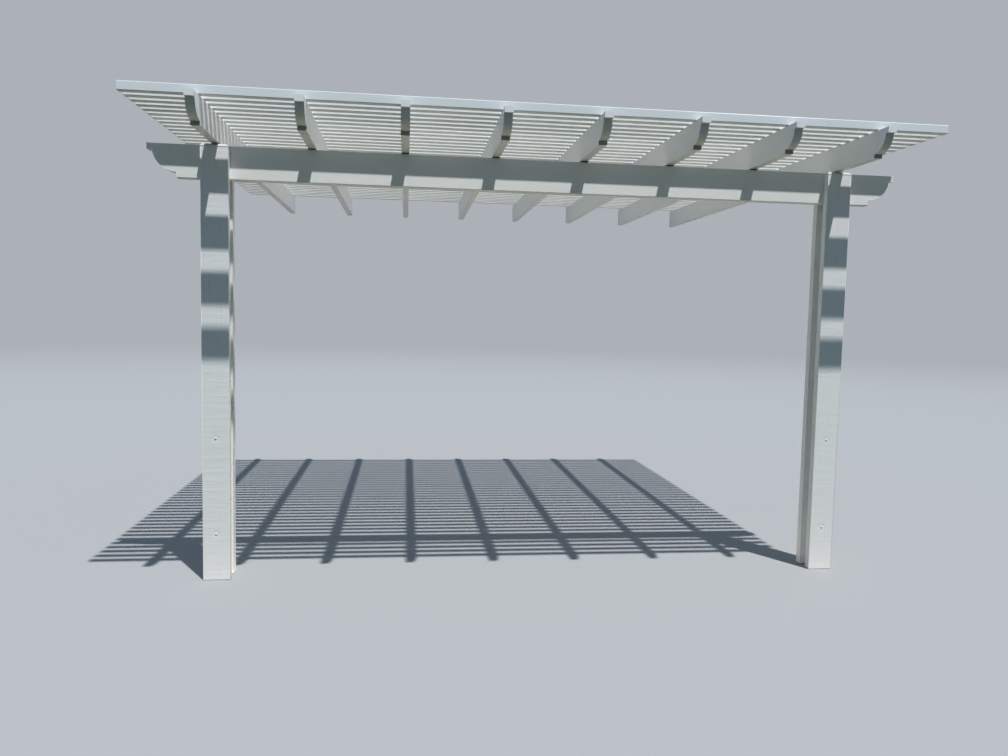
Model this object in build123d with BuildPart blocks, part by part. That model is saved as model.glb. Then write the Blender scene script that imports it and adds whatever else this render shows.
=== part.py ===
from build123d import *
import os

os.makedirs("parts", exist_ok=True)

# Wall-attached pergola: two sandwich posts, a beam, corbel-cut rafters and a lattice of square tubes.
# Millimetres. X runs along the wall, Y from the garden towards the wall, Z up.
# The origin is the middle of the left post's foot, at ground level.

# Posts: a square core between two side plates, which run from the ground up past the beam
beam_clearance = 2507
core_side = 76.2
core_wall = 3.2
plate_width = 165.1
plate_depth = 50.8
plate_wall = 1.2
plate_lift = 3
cap_rim = 1
cap_skirt = 5
cap_slope_height = 17
cap_slope_angle = 40

# Post shoes: a base plate with two upstands inside the core
shoe_base = 6
shoe_web = 5
shoe_height = 90
shoe_clearance = 0.3
anchor_spacing = 36
anchor_hole_radius = 5.5

# Beam, a little slimmer than the core that carries it
beam_width = 70
beam_height = 203.2
beam_wall = 2
beam_left_overhang = 408
beam_right_overhang = 417
beam_nose = 38
beam_lip = 31.5
beam_bulge = 145
beam_reach = 171
beam_drop = 34

# Rafters, one over each post and the others evenly between
rafter_count = 8
rafter_pitch = 577
rafter_width = 50.8
rafter_height = 165.1
rafter_wall = 1
rafter_overhang = 571
wall_distance = 3440
rafter_nose = 38
rafter_lip = 25
rafter_bulge = 114
rafter_reach = 135
rafter_drop = 24

# End caps that close the corbel cuts
end_cap_wall = 2.5
end_cap_rim = 0.8

# Saddles: low channels that carry the rafters on the beam
saddle_height = 8
saddle_wall = 2
saddle_margin = 1.5
saddle_setback = 6

# Wall hangers: a plate on the wall and a channel inside the rafter
hanger_plate = 4
hanger_inset = 3
hanger_web = 2.5
hanger_length = 70
hanger_web_height = 110
hanger_clearance = 0.3
hanger_bolt_spacing = 70
hanger_hole_radius = 4.5

# Lattice of square tubes on top of the rafters
tube_side = 50.8
tube_wall = 0.9
tube_left_overhang = 403
tube_right_overhang = 435
tube_setback = 112
tube_gap = 53.5
tubes_in_group = 6
plug_thickness = 2
plug_depth = 12
plug_clearance = 0.2

# Levels
beam_top = beam_clearance + beam_height
rafter_bottom = beam_top + saddle_height
rafter_top = rafter_bottom + rafter_height

# Places along X and Y
post_spacing = (rafter_count - 1) * rafter_pitch
plate_face = core_side / 2 + plate_depth
rafter_front = -plate_face - rafter_overhang
wall_y = -plate_face + wall_distance
rafter_length = wall_y - hanger_plate - rafter_front
beam_length = beam_left_overhang + post_spacing + beam_right_overhang
beam_middle = (post_spacing + beam_right_overhang - beam_left_overhang) / 2
tube_start = -tube_left_overhang
tube_length = tube_left_overhang + post_spacing + tube_right_overhang
tube_pitch = tube_side + tube_gap
first_tube_y = rafter_front + tube_setback
tube_count = int((wall_y - first_tube_y - tube_side) // tube_pitch) + 1


def keep(piece, name):
    """Labels a finished piece and writes its STEP file."""
    piece.part.label = name
    export_step(piece.part, f"parts/{name}.step")


def corbel_path(height, nose, lip, bulge, reach, drop, inset=0):
    """Draws a corbel cut from the top edge down to the underside, with its tip at x = 0.

    The tip is a short upright nose, then a lip, a bulge of the given radius and a small upright drop.
    The inset moves the whole path into the outline. Returns its two ends.
    """
    shoulder = height - nose
    top = (inset, height)
    bottom = (reach + inset, 0)
    Polyline(top, (inset, shoulder + inset), (lip + inset, shoulder + inset))
    if inset:
        Line((lip + inset, shoulder + inset), (lip + inset, shoulder))
        Line((reach, drop + inset), (reach + inset, drop + inset))
    RadiusArc((lip + inset, shoulder), (reach, drop + inset), inset - bulge)
    Line((reach + inset, drop + inset), bottom)
    return top, bottom


# Left and right posts
shoe_side = core_side - 2 * core_wall - 2 * shoe_clearance
plate_top = rafter_bottom - cap_slope_height
for side, post_x in (("left", 0), ("right", post_spacing)):
    with BuildPart() as core:
        with BuildSketch(Plane.XY):
            with Locations((post_x, 0)):
                Rectangle(core_side, core_side)
                Rectangle(core_side - 2 * core_wall, core_side - 2 * core_wall, mode=Mode.SUBTRACT)
        extrude(amount=beam_clearance)
    keep(core, f"{side}_post_core")

    with BuildPart() as shoe:
        with BuildSketch(Plane.XY):
            with Locations((post_x, 0)):
                Rectangle(shoe_side, shoe_side)
        extrude(amount=shoe_height)
        with BuildSketch(Plane.XY.offset(shoe_base)):
            with Locations((post_x, 0)):
                Rectangle(shoe_side, shoe_side - 2 * shoe_web)
        extrude(amount=shoe_height, mode=Mode.SUBTRACT)
        with Locations((post_x, 0, shoe_base)):
            with GridLocations(anchor_spacing, 0, 2, 1):
                Hole(anchor_hole_radius, depth=shoe_base)
    keep(shoe, f"{side}_post_shoe")

    for place, toward in (("front", -1), ("rear", 1)):
        with BuildPart() as plate:
            with BuildSketch(Plane.XY.offset(plate_lift)):
                with Locations((post_x, toward * (core_side + plate_depth) / 2)):
                    Rectangle(plate_width, plate_depth)
                    Rectangle(plate_width - 2 * plate_wall, plate_depth - 2 * plate_wall, mode=Mode.SUBTRACT)
            extrude(amount=plate_top - plate_lift)
        keep(plate, f"{side}_post_{place}_plate")

    cap_width = plate_width + 2 * cap_rim
    cap_depth = plate_depth + cap_rim
    with BuildPart() as caps:
        with BuildSketch(Plane.XY.offset(plate_top - cap_skirt)):
            with Locations((post_x, -(core_side + cap_depth) / 2)):
                Rectangle(cap_width, cap_depth)
            with Locations((post_x, -(core_side + plate_depth) / 2)):
                Rectangle(plate_width, plate_depth, mode=Mode.SUBTRACT)
        extrude(amount=cap_skirt)
        with BuildSketch(Plane.XY.offset(plate_top)):
            with Locations((post_x, -(core_side + cap_depth) / 2)):
                Rectangle(cap_width, cap_depth)
        extrude(amount=cap_slope_height, taper=cap_slope_angle)
        mirror(about=Plane.XZ)
    keep(caps, f"{side}_post_plate_caps")


# Beam, drawn from its middle so that both ends have the same cut
beam_cut = (beam_height, beam_nose, beam_lip, beam_bulge, beam_reach, beam_drop)


def beam_plane(toward):
    """The beam's side view with its origin at one lower tip, drawn towards the middle."""
    tip = (beam_middle + toward * beam_length / 2, 0, beam_clearance)
    return Plane(origin=tip, x_dir=(-toward, 0, 0), z_dir=(0, toward, 0))


with BuildPart() as beam:
    with BuildSketch(beam_plane(-1)):
        with BuildLine():
            cut_top, cut_bottom = corbel_path(*beam_cut, inset=end_cap_wall)
            Polyline(cut_bottom, (beam_length / 2, 0), (beam_length / 2, beam_height), cut_top)
        make_face()
    extrude(amount=beam_width / 2, both=True)
    mirror(about=Plane.YZ.offset(beam_middle))
    with Locations((beam_middle, 0, beam_clearance + beam_height / 2)):
        Box(beam_length, beam_width - 2 * beam_wall, beam_height - 2 * beam_wall, mode=Mode.SUBTRACT)
keep(beam, "beam")


def end_cap_outline(cut):
    """Draws the band between a corbel cut and the same path one cap wall further in."""
    outer_top, outer_bottom = corbel_path(*cut)
    inner_top, inner_bottom = corbel_path(*cut, inset=end_cap_wall)
    Line(outer_top, inner_top)
    Line(outer_bottom, inner_bottom)


for side, toward in (("left", -1), ("right", 1)):
    with BuildPart() as beam_cap:
        with BuildSketch(beam_plane(toward)):
            with BuildLine():
                end_cap_outline(beam_cut)
            make_face()
        extrude(amount=beam_width / 2 + end_cap_rim, both=True)
    keep(beam_cap, f"beam_end_cap_{side}")


# Rafters with their end caps
rafter_cut = (rafter_height, rafter_nose, rafter_lip, rafter_bulge, rafter_reach, rafter_drop)
for number in range(1, rafter_count + 1):
    rafter_x = (number - 1) * rafter_pitch
    side_view = Plane(origin=(rafter_x, rafter_front, rafter_bottom), x_dir=(0, 1, 0), z_dir=(1, 0, 0))

    with BuildPart() as rafter:
        with BuildSketch(side_view):
            with BuildLine():
                cut_top, cut_bottom = corbel_path(*rafter_cut, inset=end_cap_wall)
                Polyline(cut_bottom, (rafter_length, 0), (rafter_length, rafter_height), cut_top)
            make_face()
        extrude(amount=rafter_width / 2, both=True)
        with Locations((rafter_x, rafter_front + rafter_length / 2, rafter_bottom + rafter_height / 2)):
            Box(
                rafter_width - 2 * rafter_wall,
                rafter_length,
                rafter_height - 2 * rafter_wall,
                mode=Mode.SUBTRACT,
            )
    keep(rafter, f"rafter_{number}")

    with BuildPart() as rafter_cap:
        with BuildSketch(side_view):
            with BuildLine():
                end_cap_outline(rafter_cut)
            make_face()
        extrude(amount=rafter_width / 2 + end_cap_rim, both=True)
    keep(rafter_cap, f"rafter_end_cap_{number}")


# Saddles, one channel with its legs down under each rafter
saddle_width = rafter_width - 2 * saddle_margin
saddle_length = beam_width - 2 * saddle_setback
rafter_places = [(number * rafter_pitch, 0) for number in range(rafter_count)]
with BuildPart() as saddles:
    with BuildSketch(Plane.XY.offset(beam_top)):
        with Locations(*rafter_places):
            Rectangle(saddle_width, saddle_length)
    extrude(amount=saddle_height)
    with BuildSketch(Plane.XY.offset(beam_top)):
        with Locations(*rafter_places):
            Rectangle(saddle_width - 2 * saddle_wall, saddle_length)
    extrude(amount=saddle_height - saddle_wall, mode=Mode.SUBTRACT)
keep(saddles, "rafter_saddles")


# Wall hangers, each a plate on the wall with a channel that reaches into its rafter
channel_width = rafter_width - 2 * rafter_wall - 2 * hanger_clearance
channel_floor = rafter_bottom + rafter_wall
hanger_middle = rafter_bottom + rafter_height / 2
hanger_places = [(number * rafter_pitch, hanger_middle) for number in range(rafter_count)]
bolt_places = [
    (x, middle + shift)
    for x, middle in hanger_places
    for shift in (-hanger_bolt_spacing / 2, hanger_bolt_spacing / 2)
]
wall_view = Plane(origin=(0, wall_y, 0), x_dir=(1, 0, 0), z_dir=(0, -1, 0))
with BuildPart() as hangers:
    with BuildSketch(wall_view):
        with Locations(*hanger_places):
            Rectangle(rafter_width - 2 * hanger_inset, rafter_height - 2 * hanger_inset)
    extrude(amount=hanger_plate)
    with BuildSketch(wall_view.offset(hanger_plate)):
        with Locations(*[(x, channel_floor + hanger_web_height / 2) for x, middle in hanger_places]):
            Rectangle(channel_width, hanger_web_height)
        with Locations(*[(x, channel_floor + hanger_web + hanger_web_height / 2) for x, middle in hanger_places]):
            Rectangle(channel_width - 2 * hanger_web, hanger_web_height, mode=Mode.SUBTRACT)
    extrude(amount=hanger_length)
    with BuildSketch(wall_view):
        with Locations(*bolt_places):
            Circle(hanger_hole_radius)
    extrude(amount=hanger_plate, mode=Mode.SUBTRACT)
keep(hangers, "wall_hangers")


# Lattice tubes and the plugs that close their ends
def tube_middles(first, last):
    """Places (Y, Z) of the tubes numbered from first up to but not including last, counted from the front."""
    return [
        (first_tube_y + tube_side / 2 + number * tube_pitch, rafter_top + tube_side / 2)
        for number in range(first, last)
    ]


def lattice_tubes(name, first, last):
    """Makes one node of separate hollow tubes."""
    with BuildPart() as tubes:
        with BuildSketch(Plane.YZ.offset(tube_start)):
            with Locations(*tube_middles(first, last)):
                Rectangle(tube_side, tube_side)
                Rectangle(tube_side - 2 * tube_wall, tube_side - 2 * tube_wall, mode=Mode.SUBTRACT)
        extrude(amount=tube_length)
    keep(tubes, name)


lattice_tubes("lattice_front_tube", 0, 1)
for group, first in enumerate(range(1, tube_count, tubes_in_group), start=1):
    lattice_tubes(f"lattice_tubes_{group}", first, min(first + tubes_in_group, tube_count))

plug_side = tube_side - 2 * tube_wall - 2 * plug_clearance
for side, tube_end, outward in (("left", tube_start, -1), ("right", tube_start + tube_length, 1)):
    with BuildPart() as plugs:
        with BuildSketch(Plane.YZ.offset(tube_end)):
            with Locations(*tube_middles(0, tube_count)):
                Rectangle(tube_side, tube_side)
        extrude(amount=outward * plug_thickness)
        with BuildSketch(Plane.YZ.offset(tube_end)):
            with Locations(*tube_middles(0, tube_count)):
                Rectangle(plug_side, plug_side)
        extrude(amount=-outward * plug_depth)
    keep(plugs, f"lattice_plugs_{side}")
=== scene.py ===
import math

import bmesh
import bpy
from mathutils import Matrix, Vector


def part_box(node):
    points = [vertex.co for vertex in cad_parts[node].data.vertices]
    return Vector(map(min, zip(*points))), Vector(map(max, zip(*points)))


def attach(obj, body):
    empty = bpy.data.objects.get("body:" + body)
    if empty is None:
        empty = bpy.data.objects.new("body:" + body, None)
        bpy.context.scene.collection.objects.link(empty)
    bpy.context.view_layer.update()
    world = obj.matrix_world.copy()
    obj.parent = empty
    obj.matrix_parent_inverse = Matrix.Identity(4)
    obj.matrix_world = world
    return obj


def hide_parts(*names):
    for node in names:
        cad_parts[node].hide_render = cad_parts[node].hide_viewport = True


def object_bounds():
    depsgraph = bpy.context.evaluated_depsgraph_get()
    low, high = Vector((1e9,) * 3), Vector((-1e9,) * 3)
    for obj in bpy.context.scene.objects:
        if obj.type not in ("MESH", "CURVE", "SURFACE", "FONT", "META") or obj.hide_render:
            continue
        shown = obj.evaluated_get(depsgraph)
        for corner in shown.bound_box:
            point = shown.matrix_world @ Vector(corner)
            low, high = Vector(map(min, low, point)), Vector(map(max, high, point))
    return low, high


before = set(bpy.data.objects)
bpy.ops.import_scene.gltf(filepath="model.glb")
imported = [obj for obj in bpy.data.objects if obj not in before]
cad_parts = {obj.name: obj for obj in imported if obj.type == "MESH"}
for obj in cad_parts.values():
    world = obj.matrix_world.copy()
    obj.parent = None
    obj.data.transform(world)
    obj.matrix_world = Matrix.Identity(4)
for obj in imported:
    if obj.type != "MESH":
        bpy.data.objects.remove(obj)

cad_low, cad_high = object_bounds()

# Places worked out from the frame, in metres
plate_low, plate_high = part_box("left_post_front_plate")
right_low, right_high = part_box("right_post_front_plate")
rafter_low, rafter_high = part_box("rafter_1")
tube_low, tube_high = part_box("lattice_front_tube")
left_x = (plate_low.x + plate_high.x) / 2
right_x = (right_low.x + right_high.x) / 2
front_face = plate_low.y
rear_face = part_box("left_post_rear_plate")[1].y
rafter_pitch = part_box("rafter_2")[0].x - rafter_low.x
rafter_bottom = rafter_low.z
rafter_x = (rafter_low.x + rafter_high.x) / 2
tube_y = (tube_low.y + tube_high.y) / 2
tube_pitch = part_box("lattice_tubes_1")[0].y - tube_low.y
middle = (cad_low + cad_high) / 2

# Screws that hold the side plates to the core, about two feet apart
screw_first = 0.297
screw_step = 0.608
screw_count = 4
screw_turns = 20
# Half section of a washer-head screw as (radius, height), from its rim to its middle
screw_profile = (
    (0.0072, 0.0), (0.0072, 0.0006), (0.0067, 0.0011), (0.0052, 0.0012), (0.0050, 0.0021),
    (0.0044, 0.0030), (0.0033, 0.0035), (0.0022, 0.0036), (0.0018, 0.0025), (0.0, 0.0024),
)
# Shallow dents round them: depth, and how far from the screw's middle they start and end
dent_depth = 0.0007
dent_span = (0.004, 0.034)

# Ring grooves on top of the tubes over each rafter, where a plug closes a screw's hole: the distances from
# its middle at which each side of the groove rises, and how far the face has to look up
groove_inner = (0.0060, 0.0068)
groove_outer = (0.0072, 0.0080)
groove_facing = (0.5, 0.9)
groove_depth = 0.0008
groove_share = 0.55
groove_colour = (0.2, 0.19, 0.17)

# Low upright face at the foot of each rafter's curved cut, and the painted shade that darkens it as the
# curve above would shade it
drop_height = 0.024
drop_top = rafter_bottom + drop_height
drop_fade = (drop_top - 0.002, drop_top + 0.004)
drop_facing = (-0.98, -0.8)
drop_painted_shade = 0.8
painted_shade_colour = (0.20, 0.20, 0.17)

# Corner radii of the rolled sheet, and of the moulded plate caps
tube_radius = 0.0035
sheet_radius = 0.003
plug_radius = 0.003
plate_cap_radius = 0.005
# Above a low rim the plate caps' crowns keep this share of their height, so that a dark gap shows under
# a rafter
plate_cap_rim = 0.001
plate_cap_share = 0.74

# How the corners of the solids are found and rounded, with the shortest edges that count as long
weld_distance = 1e-6
flat_angle = math.radians(0.5)
corner_angle = math.radians(25)
parallel_share = 0.999
member_edge = 0.3
plug_edge = 0.0008
corner_segments = 4
plug_segments = 3

# Embossed grain and rolling waves, as repeats a metre along and across a member
grain_sway = (1.3, 5.0)
grain_rings = (1.6, 42.0)
grain_pores = (9.0, 260.0)
rolling_waves = (46.0, 5.0)
gloss_patches = (6.0, 70.0)
ring_count = 34.0
ring_share = 0.22
pore_span = (0.28, 0.48)
pore_tone = (0.7, 0.7, 0.7)

# Weather: a slow drift of the paint's tone, rain streaks on upright faces, and dust on what faces up that is
# also painted shade, darkening the tops that the key lights most
drift_scale = (1.7, 1.7, 1.7)
drift_dark = (0.965, 0.965, 0.965)
drift_bright = (1.02, 1.02, 1.02)
streak_scale = (55.0, 55.0, 1.1)
streak_span = (0.5, 0.78)
streak_share = 0.05
upright_span = (0.3, 0.8)
dirt_tone = (0.72, 0.70, 0.60)
dust_and_shade_scale = (9.0, 9.0, 9.0)
dust_and_shade_span = (0.3, 0.7)
dust_and_shade_tone = (0.52, 0.51, 0.495)
dust_and_shade_least = 0.92
slope_span = 0.35
# The most dust and painted shade there is, and how far up a face must look before it holds any, on sheet and
# on smooth paint
sheet_dust_and_shade = 1.0
sheet_slope = 0.6
smooth_dust_and_shade = 0.95
smooth_slope = 0.4

# Gloss: specular level of clean and of dusty paint, and the least and greatest roughness
clean_gloss = 0.5
dusty_gloss = 0.08
patch_span = (0.2, 0.8)
sheet_roughness = (0.23, 0.39)
steady_roughness = (0.30, 0.32)
smooth_roughness = (0.28, 0.42)
smooth_patches = (30.0, 30.0, 30.0)

# Fine texture and edges of the smooth paint and of the bare metal
edge_samples = 4
paint_edge = 0.0012
peel_scale = (420.0, 420.0, 420.0)
peel_depth = 0.00008
metal_edge = 0.001
metal_lines = (900.0, 40.0, 900.0)
metal_depth = 0.00006
bloom_scale = (35.0, 35.0, 35.0)
bloom_span = (0.3, 0.75)
bloom_roughness = (0.36, 0.6)
metal_dark = (0.44, 0.44, 0.43)
metal_light = (0.60, 0.61, 0.62)

# Colours of the paint, one shade apart between rolled sheet, lattice tube and moulded caps. The beam's and
# the front tube's colours also carry painted light and shade, as said at each
frame_white = (0.915, 0.92, 0.91)
# The beam's paint is brighter and warmer than the posts': painted light for its sunlit strip and the warm
# light it gets from below
beam_white_with_painted_light = (0.935, 0.94, 0.915)
lattice_white = (0.92, 0.92, 0.905)
# The front tube's paint is darker and bluer than the other tubes': painted shade in the tint of the sky's
# light on its face
front_tube_white_with_painted_shade = (0.85, 0.885, 0.905)
cap_white = (0.90, 0.915, 0.915)
# The saddles' near black is painted shade: they sit in deep shade in the gap under the rafters
saddle_painted_shade_colour = (0.045, 0.045, 0.042)

# Camera, at the photograph's viewing angle
camera_place = Vector((1.1712, -5.2129, 1.6961))
camera_yaw = math.radians(7.0449)
camera_pitch = math.radians(-4.3435)
camera_roll = math.radians(1.2193)
camera_lens = 28.54
camera_sensor = 36.0

# Light: one key from high in front, a little to the right, and a soft fill that is stronger overhead
to_key = Vector((0.170, -0.2885, 0.9415)).normalized()
key_strength = 5.05
key_size = math.radians(0.8)
fill_low_colour = (0.030, 0.070, 0.108)
fill_high_colour = (0.29, 0.41, 0.56)
fill_rise = (0.05, 0.9)
backdrop_colour = (0.41, 0.44, 0.475)

# Floor: plain and pale where it is seen. The light that it throws back changes from zone to zone: warm and
# bright under the roof, darker at the edge of that, green round it, little beyond and grey at the rear
floor_seen = (0.285, 0.29, 0.295)
floor_mirrored = (0.13, 0.13, 0.13)
bounce_under = (0.80, 0.73, 0.60)
bounce_edge = (0.24, 0.20, 0.17)
bounce_round = (0.050, 0.058, 0.007)
bounce_beyond = (0.020, 0.028, 0.024)
bounce_rear = (0.125, 0.125, 0.13)
under_half_length = 3.0
under_half_depth = 1.5
under_shift = 0.1
# Where zones meet, as shares of the first zone's half length and half depth
under_end = (0.93, 1.0)
edge_end = (1.15, 1.3)
round_end = (1.92, 2.4)
rear_fade = 0.6
floor_roughness = 0.9
floor_gloss = 0.1
floor_radius = 60.0
floor_segments = 96
floor_fade = (9.0, 40.0)


# Small helpers for shader nodes
def add(tree, kind, **settings):
    """A new node with its settings."""
    node = tree.nodes.new(kind)
    for key, value in settings.items():
        setattr(node, key, value)
    return node


def feed(tree, value, socket):
    """Links a socket's value, or sets a constant."""
    if isinstance(value, bpy.types.NodeSocket):
        tree.links.new(value, socket)
    else:
        socket.default_value = value


def calc(tree, operation, *values):
    """The result of a sum on one to three values."""
    node = add(tree, "ShaderNodeMath", operation=operation)
    for socket, value in zip(node.inputs, values):
        feed(tree, value, socket)
    return node.outputs[0]


def offset(tree, value, centre):
    """How far a value lies from a centre, either way."""
    return calc(tree, "ABSOLUTE", calc(tree, "SUBTRACT", value, centre))


def wrapped(tree, value, first, step):
    """How far a value lies past the nearest of the places that repeat at a step."""
    return calc(tree, "WRAP", calc(tree, "SUBTRACT", value, first), step / 2, -step / 2)


def diagonal(tree, first, second):
    """Distance that two offsets at right angles make."""
    squares = [calc(tree, "MULTIPLY", side, side) for side in (first, second)]
    return calc(tree, "SQRT", calc(tree, "ADD", *squares))


def axes(tree, vector):
    """A vector's parts, by the names X, Y and Z."""
    split = add(tree, "ShaderNodeSeparateXYZ")
    feed(tree, vector, split.inputs[0])
    return split.outputs


def facing(tree, axis):
    """How far the surface faces along one axis, from -1 to 1."""
    return axes(tree, add(tree, "ShaderNodeNewGeometry").outputs["Normal"])[axis]


def ramp(tree, value, span, results=(0.0, 1.0)):
    """A smooth step from the first result to the second as value goes from one end of span to the other."""
    node = add(tree, "ShaderNodeMapRange", interpolation_type="SMOOTHSTEP")
    feed(tree, value, node.inputs["Value"])
    for name, limit in zip(("From Min", "From Max", "To Min", "To Max"), (*span, *results)):
        node.inputs[name].default_value = limit
    return node.outputs["Result"]


def noise(tree, place, scale, detail=2.0, roughness=0.5, distortion=0.0):
    """Noise whose scale is a vector, so that it can be drawn out along one axis."""
    scaled = add(tree, "ShaderNodeVectorMath", operation="MULTIPLY")
    feed(tree, place, scaled.inputs[0])
    feed(tree, scale, scaled.inputs[1])
    node = add(tree, "ShaderNodeTexNoise")
    feed(tree, scaled.outputs["Vector"], node.inputs["Vector"])
    node.inputs["Scale"].default_value = 1.0
    node.inputs["Detail"].default_value = detail
    node.inputs["Roughness"].default_value = roughness
    node.inputs["Distortion"].default_value = distortion
    return node.outputs["Fac"]


def blend(tree, share, first, second):
    """A mix of two colours."""
    node = add(tree, "ShaderNodeMix", data_type="RGBA")
    feed(tree, share, node.inputs["Factor"])
    feed(tree, first, node.inputs["A"])
    feed(tree, second, node.inputs["B"])
    return node.outputs["Result"]


def rgba(colour):
    """A colour as an opaque one."""
    return (*colour, 1.0)


def toned(base, tone):
    """An opaque colour that is a base colour times a tone, and never above white."""
    return rgba(min(channel * share, 1.0) for channel, share in zip(base, tone))


def stretched(along, scales):
    """A scale vector from one scale along a member and one across it."""
    return tuple(scales[0] if axis == along else scales[1] for axis in "XYZ")


def show_mix(tree, share, first, second, output):
    """Shows a mix of two shaders at the output node."""
    mixed = add(tree, "ShaderNodeMixShader")
    for value, socket in zip((share, first.outputs[0], second.outputs[0]), mixed.inputs):
        feed(tree, value, socket)
    feed(tree, mixed.outputs[0], tree.nodes[output].inputs["Surface"])


# Parts of the paint
def wood_grain(tree, place, along):
    """Height of the embossed grain: long wavy rings with finer pores between them."""
    sway = noise(tree, place, stretched(along, grain_sway))
    rings = noise(tree, place, stretched(along, grain_rings), detail=1.5, distortion=0.6)
    waves = calc(tree, "SINE", calc(tree, "MULTIPLY", calc(tree, "ADD", rings, sway), ring_count))
    pores = noise(tree, place, stretched(along, grain_pores), detail=3.0, roughness=0.6)
    return calc(tree, "ADD", calc(tree, "MULTIPLY", waves, ring_share), pores)


def sheet_waves(tree, place, along):
    """Height of the faint waves across the member that rolling leaves in thin sheet."""
    return noise(tree, place, stretched(along, rolling_waves), distortion=0.6)


def screw_dents(tree, place):
    """Height of the shallow dents that the post screws press into their plates."""
    where = axes(tree, place)
    side = calc(tree, "MINIMUM", *(offset(tree, where["X"], post_x) for post_x in (left_x, right_x)))
    level = wrapped(tree, where["Z"], screw_first, screw_step)
    return ramp(tree, diagonal(tree, side, level), dent_span)


def plug_grooves(tree, place):
    """Share of groove at each point, where tubes cross the rafters and face up."""
    where = axes(tree, place)
    across = wrapped(tree, where["X"], rafter_x, rafter_pitch)
    deep = wrapped(tree, where["Y"], tube_y, tube_pitch)
    distance = diagonal(tree, across, deep)
    ring = calc(tree, "SUBTRACT", ramp(tree, distance, groove_inner), ramp(tree, distance, groove_outer))
    return calc(tree, "MULTIPLY", ring, ramp(tree, facing(tree, "Z"), groove_facing))


def drop_face_painted_shade(tree, place):
    """Share of painted shade on the low upright faces that end the rafters' curved cuts, under the overhang
    of the curve.
    """
    low = ramp(tree, axes(tree, place)["Z"], drop_fade, (1.0, 0.0))
    return calc(tree, "MULTIPLY", low, ramp(tree, facing(tree, "Y"), drop_facing, (drop_painted_shade, 0.0)))


def weathering(tree, place, base, dust_and_shade_most, dust_and_shade_slope):
    """Paint colour with rain streaks on upright faces and dust on what faces up that is also painted shade,
    and the share of that dust and shade.
    """
    up = facing(tree, "Z")
    drift = noise(tree, place, drift_scale, detail=3.0)
    tone = blend(tree, drift, toned(base, drift_dark), toned(base, drift_bright))
    streaks = ramp(tree, noise(tree, place, streak_scale, detail=4.0, roughness=0.65), streak_span,
                   (0.0, streak_share))
    upright = ramp(tree, calc(tree, "ABSOLUTE", up), upright_span, (1.0, 0.0))
    tone = blend(tree, calc(tree, "MULTIPLY", streaks, upright), tone, toned(base, dirt_tone))
    # Dust on what faces up, darker than dust alone: painted shade that offsets the strong key light on tops
    patches = ramp(tree, noise(tree, place, dust_and_shade_scale, detail=6.0, roughness=0.7), dust_and_shade_span,
                   (dust_and_shade_least, dust_and_shade_most))
    dust_and_shade = calc(tree, "MULTIPLY", patches, ramp(tree, up, (dust_and_shade_slope, dust_and_shade_slope + slope_span)))
    return blend(tree, dust_and_shade, tone, toned(base, dust_and_shade_tone)), dust_and_shade


def sheen(tree, shader, place, scale, roughness, dust_and_shade):
    """Feeds roughness that wanders between two values, and a gloss that is dull where the dust and painted
    shade lie.
    """
    wander = noise(tree, place, scale, detail=3.0)
    feed(tree, ramp(tree, wander, patch_span, roughness), shader.inputs["Roughness"])
    feed(tree, calc(tree, "MULTIPLY_ADD", dust_and_shade, dusty_gloss - clean_gloss, clean_gloss),
         shader.inputs["Specular IOR Level"])


def start_material(name):
    """A material with one main shader and the place of each point in metres."""
    material = bpy.data.materials.new(name)
    material.use_nodes = True
    tree = material.node_tree
    return material, tree, tree.nodes["Principled BSDF"], add(tree, "ShaderNodeTexCoord").outputs["Object"]


def rounded_edges(tree, radius):
    """A normal that turns softly round the edges."""
    node = add(tree, "ShaderNodeBevel", samples=edge_samples)
    node.inputs["Radius"].default_value = radius
    return node.outputs["Normal"]


def relief(tree, height, depth, normal=None):
    """Bends the surface's own normal, or one that is given, by a height."""
    node = add(tree, "ShaderNodeBump")
    node.inputs["Strength"].default_value = 1.0
    node.inputs["Distance"].default_value = depth
    feed(tree, height, node.inputs["Height"])
    if normal:
        feed(tree, normal, node.inputs["Normal"])
    return node.outputs["Normal"]


# Finishes
def grain_paint(name, base, along, grain_depth=0.00007, wave_depth=0.00018, line_share=0.05,
                edge_radius=None, roughness=sheet_roughness, dents=False, grooves=False):
    """Embossed wood-grain paint on sheet metal, with the grain along one axis."""
    material, tree, shader, place = start_material(name)
    grain = wood_grain(tree, place, along)
    normal = rounded_edges(tree, edge_radius) if edge_radius else None
    normal = relief(tree, sheet_waves(tree, place, along), wave_depth, normal)
    if dents:
        normal = relief(tree, screw_dents(tree, place), dent_depth, normal)
    normal = relief(tree, grain, grain_depth, normal)
    colour, dust_and_shade = weathering(tree, place, base, sheet_dust_and_shade, sheet_slope)
    colour = blend(tree, ramp(tree, grain, pore_span, (line_share, 0.0)), colour, toned(base, pore_tone))
    if grooves:
        groove = plug_grooves(tree, place)
        colour = blend(tree, calc(tree, "MULTIPLY", groove, groove_share), colour, rgba(groove_colour))
        normal = relief(tree, calc(tree, "MULTIPLY", groove, -1.0), groove_depth, normal)
    feed(tree, colour, shader.inputs["Base Color"])
    feed(tree, normal, shader.inputs["Normal"])
    sheen(tree, shader, place, stretched(along, gloss_patches), roughness, dust_and_shade)
    return material


def smooth_paint(name, base, painted_shade=None):
    """Smooth satin paint of caps, plugs and screw heads, with a faint orange-peel texture."""
    material, tree, shader, place = start_material(name)
    peel = noise(tree, place, peel_scale)
    colour, dust_and_shade = weathering(tree, place, base, smooth_dust_and_shade, smooth_slope)
    # Painted shade, where it is asked for: it darkens faces as shade would
    if painted_shade:
        colour = blend(tree, painted_shade(tree, place), colour, rgba(painted_shade_colour))
    feed(tree, colour, shader.inputs["Base Color"])
    feed(tree, relief(tree, peel, peel_depth, rounded_edges(tree, paint_edge)), shader.inputs["Normal"])
    sheen(tree, shader, place, smooth_patches, smooth_roughness, dust_and_shade)
    return material


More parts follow.
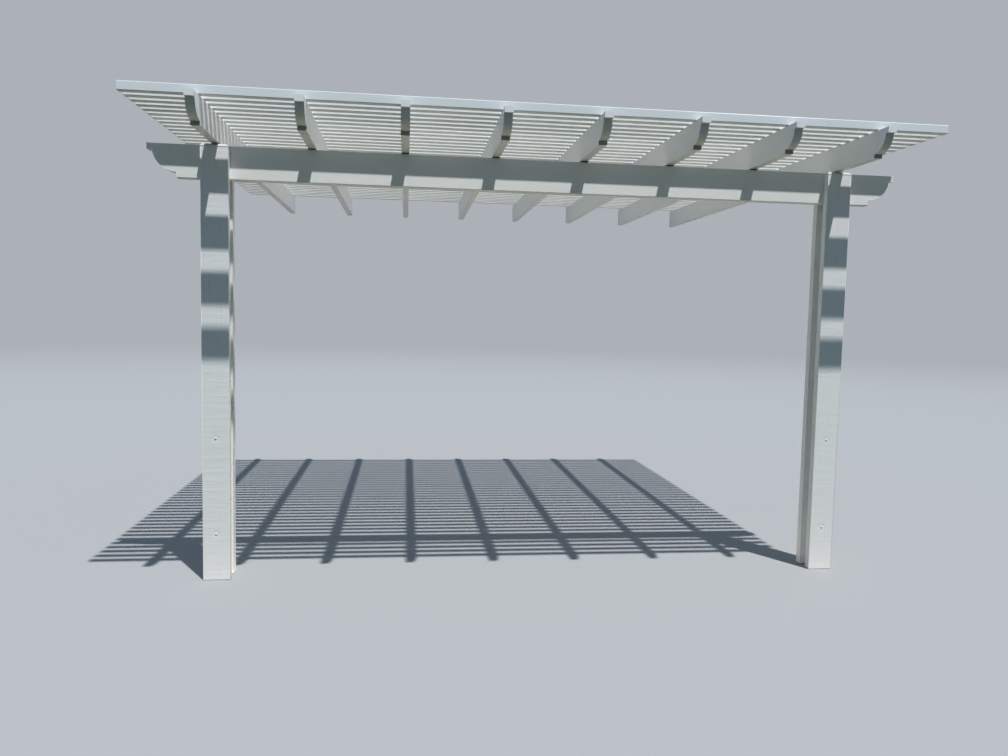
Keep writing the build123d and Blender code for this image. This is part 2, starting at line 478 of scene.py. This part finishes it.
def bare_metal(name):
    """Mill-finish aluminium with fine drawing lines and a dull oxide bloom."""
    material, tree, shader, place = start_material(name)
    lines = noise(tree, place, metal_lines, detail=3.0)
    bloom = noise(tree, place, bloom_scale, detail=5.0, roughness=0.65)
    feed(tree, blend(tree, bloom, rgba(metal_dark), rgba(metal_light)), shader.inputs["Base Color"])
    shader.inputs["Metallic"].default_value = 1.0
    feed(tree, ramp(tree, bloom, bloom_span, bloom_roughness), shader.inputs["Roughness"])
    feed(tree, relief(tree, lines, metal_depth, rounded_edges(tree, metal_edge)), shader.inputs["Normal"])
    return material


paint_z = grain_paint("painted_sheet_upright", frame_white, "Z", grain_depth=0.00004, wave_depth=0.0009,
                      line_share=0.03, dents=True)
paint_core = grain_paint("painted_core", frame_white, "Z", edge_radius=paint_edge)
paint_x = grain_paint("painted_sheet_along_wall", beam_white_with_painted_light, "X", grain_depth=0.00022, wave_depth=0.00004,
                      line_share=0.09, roughness=steady_roughness)
paint_y = grain_paint("painted_sheet_outward", frame_white, "Y", grain_depth=0.000025, wave_depth=0.00005,
                      line_share=0.02, roughness=steady_roughness)
paint_tube = grain_paint("painted_lattice_tube", lattice_white, "X", wave_depth=0.00005, grooves=True)
paint_front_tube = grain_paint("painted_front_tube", front_tube_white_with_painted_shade, "X", wave_depth=0.00005, grooves=True)
paint_cap = smooth_paint("painted_cap", cap_white)
# The rafters' end caps carry painted shade on the low faces under their curved cuts
paint_rafter_cap = smooth_paint("painted_rafter_cap", cap_white, painted_shade=drop_face_painted_shade)
# The saddles are painted near black, as painted shade for the gap under each rafter
saddle_shade_paint = smooth_paint("saddle_in_painted_shade", saddle_painted_shade_colour)
metal = bare_metal("mill_aluminium")


def material_of(node):
    """The finish of a node of the frame, chosen by the way its member runs."""
    if node.endswith("_shoe") or node == "wall_hangers":
        return metal
    if node == "rafter_saddles":
        return saddle_shade_paint
    if node.startswith("rafter_end_cap"):
        return paint_rafter_cap
    if "cap" in node or "plugs" in node:
        return paint_cap
    if node.endswith("_plate"):
        return paint_z
    if node.endswith("_core"):
        return paint_core
    if node == "lattice_front_tube":
        return paint_front_tube
    if node.startswith("lattice"):
        return paint_tube
    return paint_x if node == "beam" else paint_y


for node_name, node_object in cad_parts.items():
    node_object.data.materials.clear()
    node_object.data.materials.append(material_of(node_name))


# Helpers for objects
def add_object(name, data):
    """Puts an object with this mesh, lamp or camera into the scene."""
    made = bpy.data.objects.new(name, data)
    bpy.context.scene.collection.objects.link(made)
    return made


def mesh_object(name, mesh, material):
    """Puts a finished mesh with one material into the scene."""
    data = bpy.data.meshes.new(name)
    mesh.to_mesh(data)
    mesh.free()
    data.materials.append(material)
    return add_object(name, data)


def along_axis(axis, least=member_edge):
    """Chooses the edges that run along an axis and are at least so long."""
    def runs_along(edge):
        run = edge.verts[1].co - edge.verts[0].co
        return run.length >= least and abs(run[axis]) > parallel_share * run.length
    return runs_along


def above_level(level):
    """Chooses the edges that reach above a level."""
    return lambda edge: max(vertex.co.z for vertex in edge.verts) > level


def is_corner(edge, outer):
    """True where two faces meet at a real corner that stands out, or that goes in."""
    return (len(edge.link_faces) == 2 and edge.is_convex == outer
            and edge.calc_face_angle(0.0) > corner_angle)


def rounded_piece(node, radius, choose, inner_radius=0.0, segments=corner_segments):
    """Replaces a node by a copy whose chosen corners are rounded, the inner ones by their own radius."""
    mesh = bmesh.new()
    mesh.from_mesh(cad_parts[node].data)
    bmesh.ops.remove_doubles(mesh, verts=mesh.verts, dist=weld_distance)
    bmesh.ops.dissolve_limit(mesh, angle_limit=flat_angle, verts=mesh.verts, edges=mesh.edges)
    for face in mesh.faces:
        face.smooth = False
    for outer, size in ((True, radius), (False, inner_radius)):
        corners = [edge for edge in mesh.edges if is_corner(edge, outer) and choose(edge)]
        if size and corners:
            made = bmesh.ops.bevel(mesh, geom=corners, offset=size, offset_type="OFFSET", segments=segments,
                                   profile=0.5, affect="EDGES", clamp_overlap=True)
            for face in made["faces"]:
                face.smooth = True
    piece = mesh_object(f"{node}_rounded", mesh, material_of(node))
    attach(piece, "root")
    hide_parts(node)
    return piece


def lower_crown(piece, foot, share):
    """Presses what stands above a level down to a share of its height."""
    for vertex in piece.data.vertices:
        if vertex.co.z > foot:
            vertex.co.z = foot + (vertex.co.z - foot) * share


for node_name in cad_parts:
    if node_name.endswith("_plate"):
        rounded_piece(node_name, sheet_radius, along_axis(2), inner_radius=sheet_radius / 2)
    elif node_name.endswith("_plate_caps"):
        crown_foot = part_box(node_name)[0].z + plate_cap_rim
        lower_crown(rounded_piece(node_name, plate_cap_radius, above_level(crown_foot)), crown_foot,
                    plate_cap_share)
    elif node_name == "beam":
        rounded_piece(node_name, sheet_radius, along_axis(0), inner_radius=sheet_radius / 2)
    elif node_name.startswith("rafter_") and node_name[-1].isdigit() and "cap" not in node_name:
        rounded_piece(node_name, sheet_radius, along_axis(1), inner_radius=sheet_radius / 2)
    elif "plugs" in node_name:
        rounded_piece(node_name, plug_radius, along_axis(0, least=plug_edge), segments=plug_segments)
    elif node_name.startswith("lattice"):
        rounded_piece(node_name, tube_radius, along_axis(0), inner_radius=tube_radius / 2)


# Screw heads
def add_screw(mesh, place, outward):
    """Turns the profile about the screw's axis and adds it to the mesh."""
    stand = Matrix.Translation(place) @ outward.to_track_quat("Z", "X").to_matrix().to_4x4()
    angles = [step * math.tau / screw_turns for step in range(screw_turns)]
    rings = []
    for radius, height in screw_profile:
        around = angles if radius else angles[:1]
        spots = [Vector((radius * math.cos(angle), radius * math.sin(angle), height)) for angle in around]
        rings.append([mesh.verts.new(stand @ spot) for spot in spots])
    for lower, upper in zip(rings, rings[1:]):
        for step in range(screw_turns):
            following = (step + 1) % screw_turns
            if len(upper) == 1:
                mesh.faces.new((lower[step], lower[following], upper[0]))
            else:
                mesh.faces.new((lower[step], lower[following], upper[following], upper[step]))


def post_screws():
    """The screw heads on the front and rear of both posts, as one piece."""
    mesh = bmesh.new()
    for post_x in (left_x, right_x):
        for face, outward in ((front_face, Vector((0, -1, 0))), (rear_face, Vector((0, 1, 0)))):
            for number in range(screw_count):
                level = screw_first + number * screw_step
                add_screw(mesh, Vector((post_x, face, level)), outward)
    screws = mesh_object("post_screws", mesh, paint_cap)
    for polygon in screws.data.polygons:
        polygon.use_smooth = True
    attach(screws, "root")


post_screws()


# Floor
def floor_bounce(tree, place):
    """Colour of the light that the floor throws back, zone by zone from its middle outwards."""
    where = axes(tree, place)
    outward = calc(
        tree, "MAXIMUM",
        calc(tree, "DIVIDE", calc(tree, "ABSOLUTE", where["X"]), under_half_length),
        calc(tree, "DIVIDE", offset(tree, where["Y"], under_shift), under_half_depth))
    rear_edge = under_half_depth + under_shift
    behind = ramp(tree, where["Y"], (rear_edge, rear_edge + rear_fade))
    colour = blend(tree, ramp(tree, outward, round_end), rgba(bounce_round), rgba(bounce_beyond))
    colour = blend(tree, behind, colour, rgba(bounce_rear))
    colour = blend(tree, ramp(tree, outward, edge_end), rgba(bounce_edge), colour)
    return blend(tree, ramp(tree, outward, under_end), rgba(bounce_under), colour)


def floor_material():
    """A plain pale floor that fades into the backdrop far off."""
    material, tree, shader, place = start_material("floor")
    path = add(tree, "ShaderNodeLightPath")
    seen = path.outputs["Is Camera Ray"]
    colour = blend(tree, path.outputs["Is Glossy Ray"], floor_bounce(tree, place), rgba(floor_mirrored))
    feed(tree, blend(tree, seen, colour, rgba(floor_seen)), shader.inputs["Base Color"])
    shader.inputs["Roughness"].default_value = floor_roughness
    shader.inputs["Specular IOR Level"].default_value = floor_gloss
    distance = add(tree, "ShaderNodeVectorMath", operation="LENGTH")
    feed(tree, place, distance.inputs[0])
    far = calc(tree, "MULTIPLY", ramp(tree, distance.outputs["Value"], floor_fade), seen)
    plain = add(tree, "ShaderNodeEmission")
    plain.inputs["Color"].default_value = rgba(backdrop_colour)
    show_mix(tree, far, shader, plain, "Material Output")
    return material


def floor():
    """A wide round floor under the middle of the object."""
    mesh = bmesh.new()
    bmesh.ops.create_circle(mesh, cap_ends=True, radius=floor_radius, segments=floor_segments)
    ground = mesh_object("floor", mesh, floor_material())
    ground.location = (middle.x, middle.y, 0)


floor()


# Light
def key_light():
    """A lamp like the sun, whose beam comes from to_key."""
    data = bpy.data.lights.new("key", "SUN")
    data.energy = key_strength
    data.angle = key_size
    lamp = add_object("key", data)
    lamp.rotation_mode = "QUATERNION"
    lamp.rotation_quaternion = to_key.to_track_quat("Z", "Y")


def fill_light():
    """A soft light from all round, behind which the camera and reflections see the plain backdrop."""
    world = bpy.data.worlds.new("studio")
    bpy.context.scene.world = world
    world.use_nodes = True
    tree = world.node_tree
    path = add(tree, "ShaderNodeLightPath").outputs
    seen = calc(tree, "MAXIMUM", path["Is Camera Ray"],
                calc(tree, "MAXIMUM", path["Is Glossy Ray"], path["Is Transmission Ray"]))
    height = axes(tree, add(tree, "ShaderNodeTexCoord").outputs["Generated"])["Z"]
    light = tree.nodes["Background"]
    feed(tree, blend(tree, ramp(tree, height, fill_rise), rgba(fill_low_colour), rgba(fill_high_colour)),
         light.inputs["Color"])
    backdrop = add(tree, "ShaderNodeBackground")
    backdrop.inputs["Color"].default_value = rgba(backdrop_colour)
    show_mix(tree, seen, light, backdrop, "World Output")


key_light()
fill_light()
bpy.context.scene.view_settings.view_transform = "Standard"


# Camera
def camera():
    """A camera turned by yaw, then pitch, then roll."""
    data = bpy.data.cameras.new("camera")
    data.sensor_fit = "HORIZONTAL"
    data.sensor_width = camera_sensor
    data.lens = camera_lens
    ahead = Vector((math.sin(camera_yaw) * math.cos(camera_pitch),
                    math.cos(camera_yaw) * math.cos(camera_pitch),
                    math.sin(camera_pitch)))
    right = Vector((math.cos(camera_yaw), -math.sin(camera_yaw), 0))
    above = right.cross(ahead)
    turned_right = right * math.cos(camera_roll) + above * math.sin(camera_roll)
    turned_up = above * math.cos(camera_roll) - right * math.sin(camera_roll)
    turn = Matrix((turned_right, turned_up, -ahead)).transposed()
    view = add_object("camera", data)
    view.matrix_world = Matrix.Translation(camera_place) @ turn.to_4x4()
    bpy.context.scene.camera = view


camera()
